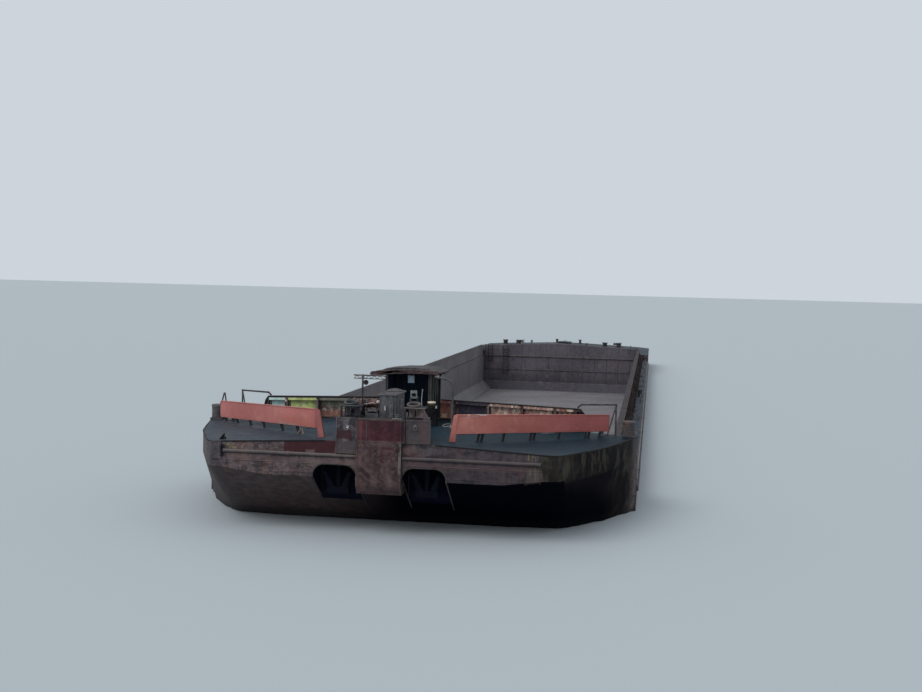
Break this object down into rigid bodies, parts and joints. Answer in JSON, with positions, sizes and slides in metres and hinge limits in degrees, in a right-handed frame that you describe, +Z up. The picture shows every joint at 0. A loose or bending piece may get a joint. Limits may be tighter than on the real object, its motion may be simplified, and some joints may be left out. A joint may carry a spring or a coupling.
{
  "type": "river push barge, 1:10 scale model",
  "caption": "Open-hold river push barge as a 1:10 scale model: flat-bottomed steel hull, raked bow with a push column, windlass, slanted breakwater boards, and a raked stern.",
  "frame": {"origin": "under the middle of the flat bottom, on the centre line, halfway between the faces of the bow and stern push columns", "axes": "+X to the bow, +Y to port, +Z up"},
  "size_m": [8.424, 1.536, 0.722],
  "materials": {
    "hull_paint": "dark red-brown paint, matt, rust streaks and scrapes",
    "deck_paint": "dark blue-grey deck paint, worn, partly wet",
    "hold_steel": "grey-brown weathered steel, matt, coal-dark at the foot",
    "coaming_paint": "peeling paint over rust, matt",
    "board_paint": "brick red paint, satin, scratched",
    "column_paint": "maroon paint with worn, rusty edges",
    "grey_paint": "grey paint, matt, dirty",
    "black_paint": "black paint, satin, worn at the edges",
    "bare_steel": "bare steel, rubbed by ropes, brown rust in the hollows",
    "roof_paint": "faded red-brown roof sheet, matt, weathered"
  },
  "bodies": {
    "root": {"hull_bow": "hull_paint", "hull_double_bottom": "hull_paint", "hull_side_starboard": "hull_paint", "hull_side_port": "hull_paint", "hold_slope_starboard": "hold_steel", "hold_slope_port": "hold_steel", "hold_slope_forward": "hold_steel", "hold_slope_aft": "hold_steel", "hull_stern": "hull_paint", "coaming_starboard": "coaming_paint", "coaming_port": "coaming_paint", "coaming_forward": "coaming_paint", "bulkhead_aft": "hold_steel", "push_column_bow": "column_paint", "column_flank_starboard": "grey_paint", "column_flank_port": "grey_paint", "windlass_platform": "grey_paint", "fairlead_frame_starboard": "black_paint", "fairlead_frame_port": "black_paint", "windlass_casing": "grey_paint", "windlass_bed": "grey_paint", "anchor_starboard": "black_paint", "anchor_port": "black_paint", "shelter_walls": "grey_paint", "shelter_roof": "roof_paint", "vent_pipe": "grey_paint", "signal_post": "black_paint", "breakwater_starboard": "board_paint", "breakwater_port": "board_paint", "foredeck_rail_starboard": "black_paint", "foredeck_rail_port": "black_paint", "foredeck_steps_starboard": "deck_paint", "bulwark_wing_starboard": "hull_paint", "foredeck_steps_port": "deck_paint", "bulwark_wing_port": "hull_paint", "bollard_bow_starboard": "black_paint", "bollard_stern_starboard": "black_paint", "bollard_side_starboard": "black_paint", "bollard_bow_port": "black_paint", "bollard_stern_port": "black_paint", "bollard_side_port": "black_paint", "rubbing_strake_starboard": "hull_paint", "rubbing_strake_port": "hull_paint", "fender_bar_starboard": "grey_paint", "fender_bar_port": "grey_paint", "corner_pad_starboard": "hull_paint", "hold_ladder": "bare_steel", "corner_ladder": "bare_steel", "hatch_coaming": "deck_paint", "push_column_stern": "column_paint"},
    "roller_starboard_inner": {"fairlead_roller_starboard_inner": "bare_steel"},
    "roller_starboard_outer": {"fairlead_roller_starboard_outer": "bare_steel"},
    "roller_port_inner": {"fairlead_roller_port_inner": "bare_steel"},
    "roller_port_outer": {"fairlead_roller_port_outer": "bare_steel"},
    "drum": {"windlass_drum": "bare_steel"},
    "casing_lid": {"windlass_casing_lid": "grey_paint"},
    "hatch_lid": {"hatch_lid": "deck_paint"}
  },
  "joints": [
    {"name": "roller_starboard_inner_spin", "type": "hinge", "parent": "root", "child": "roller_starboard_inner", "pos_m": [4.161, -0.081, 0.615], "axis": [0, 0, 1], "continuous": true},
    {"name": "roller_starboard_outer_spin", "type": "hinge", "parent": "root", "child": "roller_starboard_outer", "pos_m": [4.161, -0.106, 0.615], "axis": [0, 0, 1], "continuous": true},
    {"name": "roller_port_inner_spin", "type": "hinge", "parent": "root", "child": "roller_port_inner", "pos_m": [4.161, 0.09, 0.615], "axis": [0, 0, 1], "continuous": true},
    {"name": "roller_port_outer_spin", "type": "hinge", "parent": "root", "child": "roller_port_outer", "pos_m": [4.161, 0.115, 0.615], "axis": [0, 0, 1], "continuous": true},
    {"name": "drum_spin", "type": "hinge", "parent": "root", "child": "drum", "pos_m": [4.055, -0.076, 0.626], "axis": [0, 1, 0], "continuous": true},
    {"name": "casing_lid_hinge", "type": "hinge", "parent": "root", "child": "casing_lid", "pos_m": [4.105, 0.046, 0.6663], "axis": [-1, 0, 0], "range_deg": [0, 100]},
    {"name": "hatch_lid_hinge", "type": "hinge", "parent": "root", "child": "hatch_lid", "pos_m": [-3.54, 0, 0.4572], "axis": [0, 1, 0], "range_deg": [0, 100]}
  ]
}
